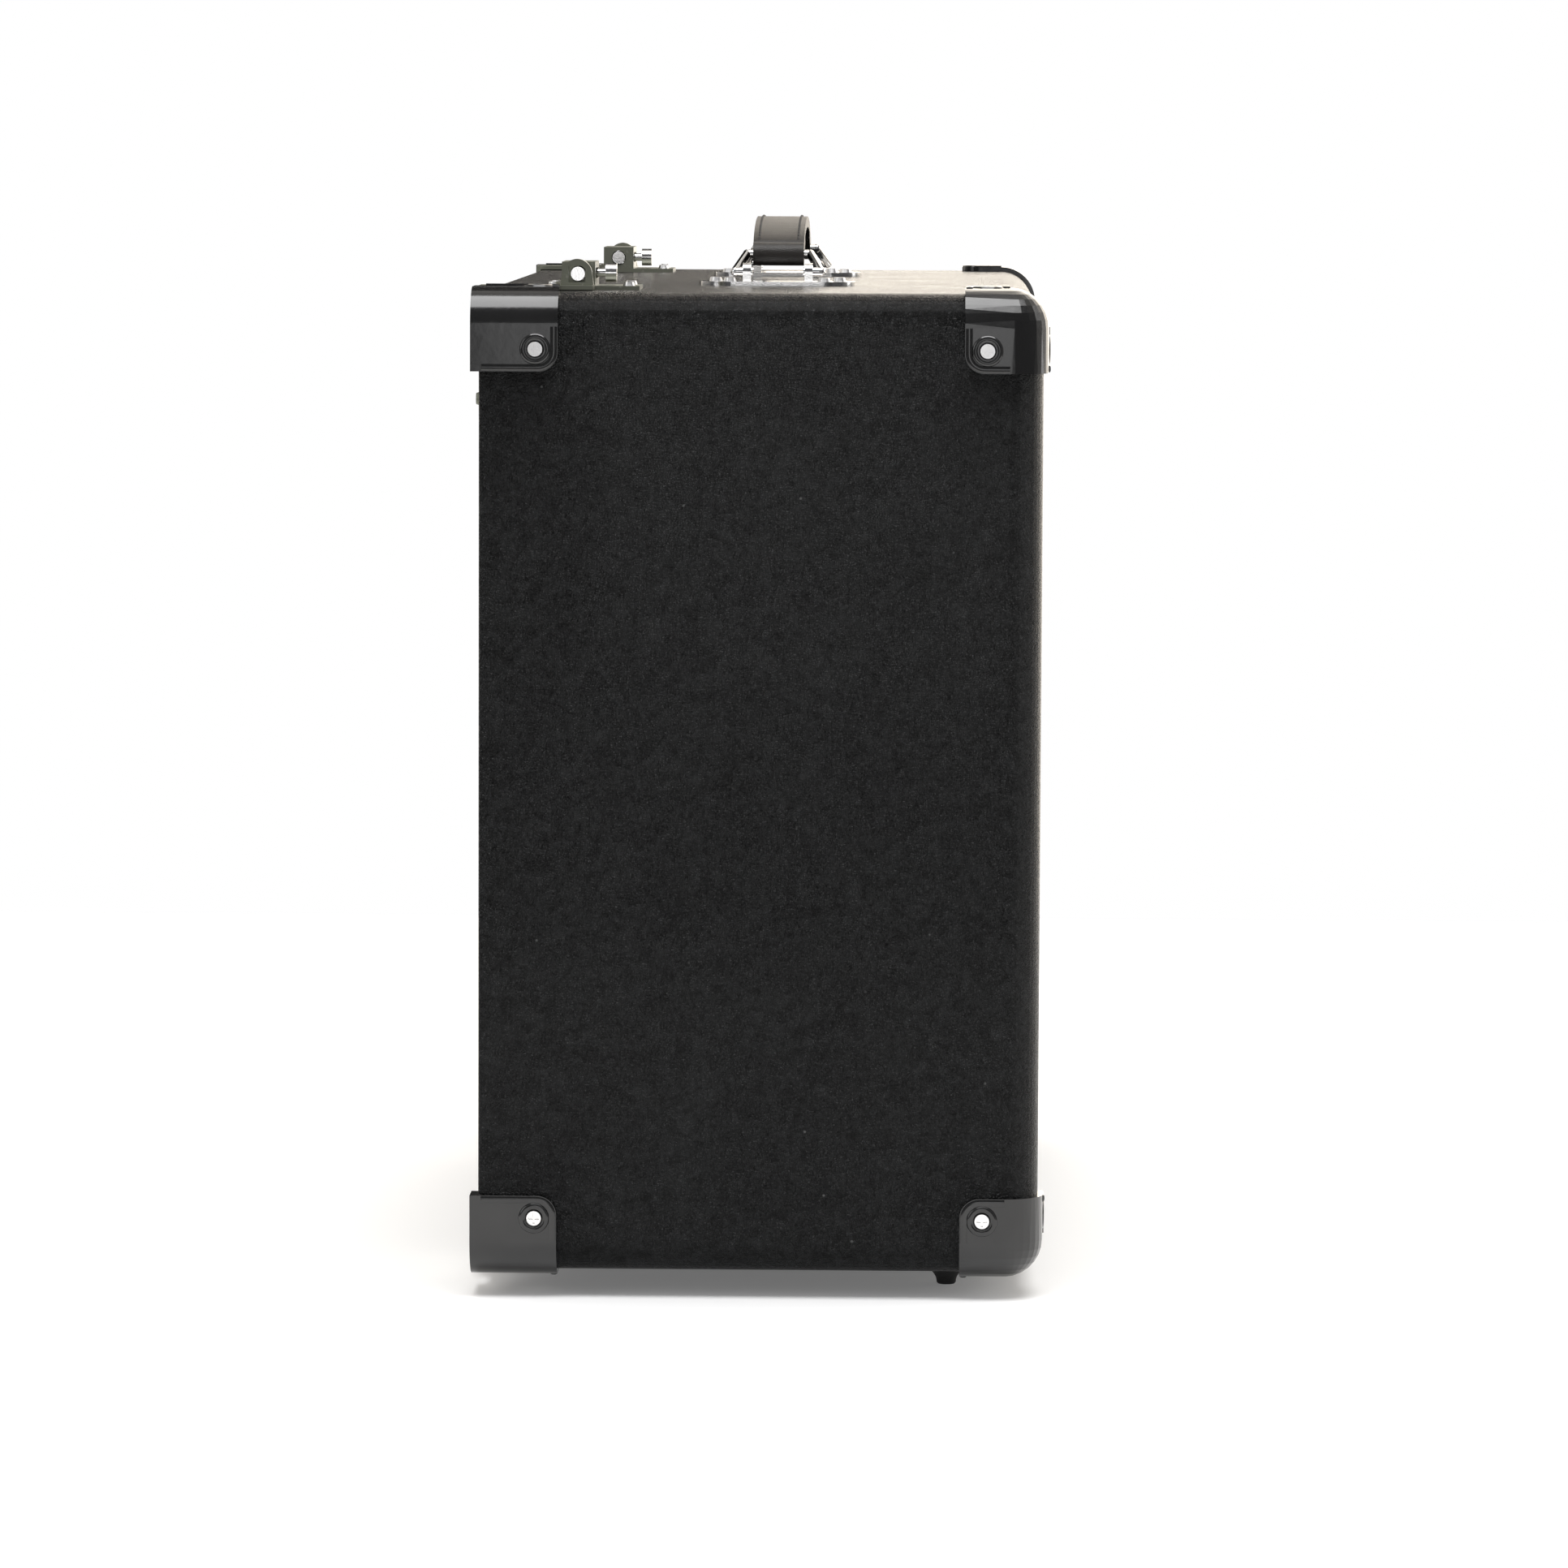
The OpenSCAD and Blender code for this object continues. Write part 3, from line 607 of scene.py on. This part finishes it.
def surface_tree(obj):
    """A ray tree of a CAD node's mesh."""
    bm = bmesh.new()
    bm.from_mesh(obj.data)
    bm.transform(obj.matrix_world)
    tree = BVHTree.FromBMesh(bm)
    bm.free()
    return tree


def drop(tree, x, y, z):
    """The first place under a point on a ray tree."""
    return tree.ray_cast(Vector((x, y, z)), Vector((0, 0, -1)))[0]


def capsule(bm, start, end, radius, sides=8, rings=5):
    """A stitch: a slim tube with its ends drawn in and sunk."""
    axis = end - start
    side = axis.cross(Vector((1, 0, 0)))
    side = side.normalized() if side.length > 1e-9 else Vector((0, 0, 1))
    other = axis.normalized().cross(side)
    loops = []
    for k in range(rings):
        t = k / (rings - 1)
        r = radius * (0.35 + 0.65 * math.sin(math.pi * t) ** 0.5)
        centre = start + axis * t + Vector((0, 0, radius * 0.75 * math.sin(math.pi * t) - radius * 0.25))
        loops.append([bm.verts.new(centre + (side * math.cos(2 * math.pi * i / sides)
                                             + other * math.sin(2 * math.pi * i / sides)) * r)
                      for i in range(sides)])
    for one, two in zip(loops, loops[1:]):
        for i in range(sides):
            j = (i + 1) % sides
            bm.faces.new((one[i], one[j], two[j], two[i]))
    bm.faces.new(loops[0])
    bm.faces.new(reversed(loops[-1]))


class CHIPCASE_OT_frame_finishes(bpy.types.Operator):
    """Finishes and softened edges on the CAD nodes that stay"""

    bl_idname = "chipcase.frame_finishes"
    bl_label = "Frame finishes"

    def execute(self, context):
        colours = context.scene.chipcase_colours
        finishes = {
            "board": plywood_finish(),
            "leatherette": bpy.data.materials["leatherette"],
            "felt": felt_finish("felt_lining", grey(0.012), grey(0.045)),
            "corner": bpy.data.materials["corner_plastic"],
            "screw": chrome_finish("screw_plating", 0.95, 0.24),
            "foot": rubber_finish(),
            "hardware": chrome_finish("hardware_plating", 0.80, 0.07),
            "housing": enamel_finish(colours),
            "strap": strap_finish(colours),
            "tray": tray_finish(),
            "ribbon": ribbon_finish(colours),
        }
        softness = {"corner": 0.5, "screw": 0.12, "foot": 0.3, "hardware": 0.25, "housing": 0.5, "strap": 0.8,
                    "tray": 0.5, "felt": 0.3, "board": 0.3, "leatherette": 0.35, "ribbon": 0.1}
        for entry in frame["record"]["subparts"]:
            node = frame["nodes"][entry["node"]]
            slot = "housing" if entry["node"].startswith("hasp") else entry["material_slot"]
            node.data.materials.clear()
            node.data.materials.append(finishes[slot])
            soften(node, softness[slot] * MM)
        return {"FINISHED"}


def studio_world(scene):
    """A white room: plain white to look at, warm light from behind the case, dimmer from the front."""
    world = bpy.data.worlds.new("studio")
    scene.world = world
    world.use_nodes = True
    nodes, links = world.node_tree.nodes, world.node_tree.links
    background = nodes["Background"]
    way = nodes.new("ShaderNodeTexCoord")
    axes = nodes.new("ShaderNodeSeparateXYZ")
    ramp = nodes.new("ShaderNodeValToRGB")
    ramp.color_ramp.elements.new(0.8)
    for element, (at, colour) in zip(ramp.color_ramp.elements, WORLD_STOPS):
        element.position, element.color = at, colour
    half = nodes.new("ShaderNodeMath")
    half.operation = "MULTIPLY_ADD"
    half.inputs[1].default_value, half.inputs[2].default_value = 0.5, 0.5
    seen = nodes.new("ShaderNodeLightPath")
    pick = nodes.new("ShaderNodeMix")
    pick.data_type = "RGBA"
    pick.inputs[7].default_value = (1, 1, 1, 1)
    links.new(way.outputs["Generated"], axes.inputs[0])
    links.new(axes.outputs["Y"], half.inputs[0])
    links.new(half.outputs[0], ramp.inputs["Fac"])
    links.new(seen.outputs["Is Camera Ray"], pick.inputs[0])
    links.new(ramp.outputs["Color"], pick.inputs[6])
    links.new(pick.outputs[2], background.inputs["Color"])


class CHIPCASE_OT_stage(bpy.types.Operator):
    """Pale floor, soft lights and the camera"""

    bl_idname = "chipcase.stage"
    bl_label = "Stage"

    def execute(self, context):
        sizes = context.scene.chipcase_stage
        scene = context.scene
        floor_mesh = bpy.data.meshes.new("floor")
        bm = bmesh.new()
        bmesh.ops.create_grid(bm, x_segments=4, y_segments=4, size=FLOOR_HALF)
        bm.to_mesh(floor_mesh)
        bm.free()
        floor = bpy.data.objects.new("floor", floor_mesh)
        scene.collection.objects.link(floor)
        floor_mesh.materials.append(floor_finish())

        scene.view_settings.view_transform = "Standard"
        studio_world(scene)
        for name, place, aim, size, power in (
            ("overhead_panel", (0.1, -0.5, 1.9), (0, 0, 0.2), (1.6, 1.2), sizes.panel_power),
            ("left_panel", (-1.9, -1.5, 1.1), (0, 0, 0.25), (0.9, 1.4), 11.0),
            ("right_panel", (2.0, 0.5, 0.9), (0, 0, 0.25), (0.6, 1.4), 6.0),
            ("glint_card", (0.1, -3.4, 0.42), (0, 0, 0.3), (0.8, 0.8), 3.2),
        ):
            light = bpy.data.lights.new(name, "AREA")
            light.shape, light.size, light.size_y, light.energy = "RECTANGLE", *size, power
            lamp = bpy.data.objects.new(name, light)
            scene.collection.objects.link(lamp)
            lamp.location = place
            lamp.rotation_euler = (Vector(aim) - Vector(place)).to_track_quat("-Z", "Y").to_euler()

        flag_mesh = bpy.data.meshes.new("dark_flag")
        flag_mesh.from_pydata([(-2.2, 2.6, 0.0), (-0.06, 2.6, 0.0), (-0.1, 2.6, 4.5), (-2.2, 2.6, 4.5)], [],
                              [(0, 1, 2, 3)])
        flag = bpy.data.objects.new("dark_flag", flag_mesh)
        scene.collection.objects.link(flag)
        flag_mesh.materials.append(bpy.data.materials["corner_plastic"])
        flag.visible_camera = flag.visible_shadow = flag.visible_diffuse = False

        camera = bpy.data.objects.new("camera", bpy.data.cameras.new("camera"))
        scene.collection.objects.link(camera)
        camera.data.lens, camera.data.sensor_width = sizes.focal, 36.0
        camera.data.clip_start, camera.data.clip_end = 0.05, 100.0
        camera.location = CAMERA_PLACE
        yaw, pitch, roll = CAMERA_TURN
        camera.rotation_euler = (Matrix.Rotation(yaw, 3, "Z") @ Matrix.Rotation(math.pi / 2 - pitch, 3, "X")
                                 @ Matrix.Rotation(roll, 3, "Z")).to_euler()
        scene.camera = camera
        return {"FINISHED"}


class CHIPCASE_PT_panel(bpy.types.Panel):
    """Panel that lists the case's operators"""

    bl_idname = "CHIPCASE_PT_panel"
    bl_label = "Chip case"
    bl_space_type = "VIEW_3D"
    bl_region_type = "UI"
    bl_category = "Chip case"

    def draw(self, context):
        for step in STEPS:
            self.layout.operator(step.bl_idname)


STEPS = (CHIPCASE_OT_leather_skin, CHIPCASE_OT_lid_wrap, CHIPCASE_OT_protector_borders,
         CHIPCASE_OT_strap_stitching, CHIPCASE_OT_frame_finishes, CHIPCASE_OT_stage)
GROUPS = {"chipcase_covers": ChipCaseCovers, "chipcase_colours": ChipCaseColours,
          "chipcase_protectors": ChipCaseProtectors, "chipcase_stage": ChipCaseStage}


def register():
    for group in GROUPS.values():
        bpy.utils.register_class(group)
    for name, group in GROUPS.items():
        setattr(bpy.types.Scene, name, bpy.props.PointerProperty(type=group))
    for step in (*STEPS, CHIPCASE_PT_panel):
        bpy.utils.register_class(step)


def unregister():
    for step in reversed((*STEPS, CHIPCASE_PT_panel)):
        bpy.utils.unregister_class(step)
    for name in GROUPS:
        delattr(bpy.types.Scene, name)
    for group in reversed(list(GROUPS.values())):
        bpy.utils.unregister_class(group)


def main():
    register()
    protector_finish(bpy.context.scene.chipcase_colours)
    for step in STEPS:
        group, name = step.bl_idname.split(".")
        getattr(getattr(bpy.ops, group), name)()


if __name__ == "__main__":
    main()
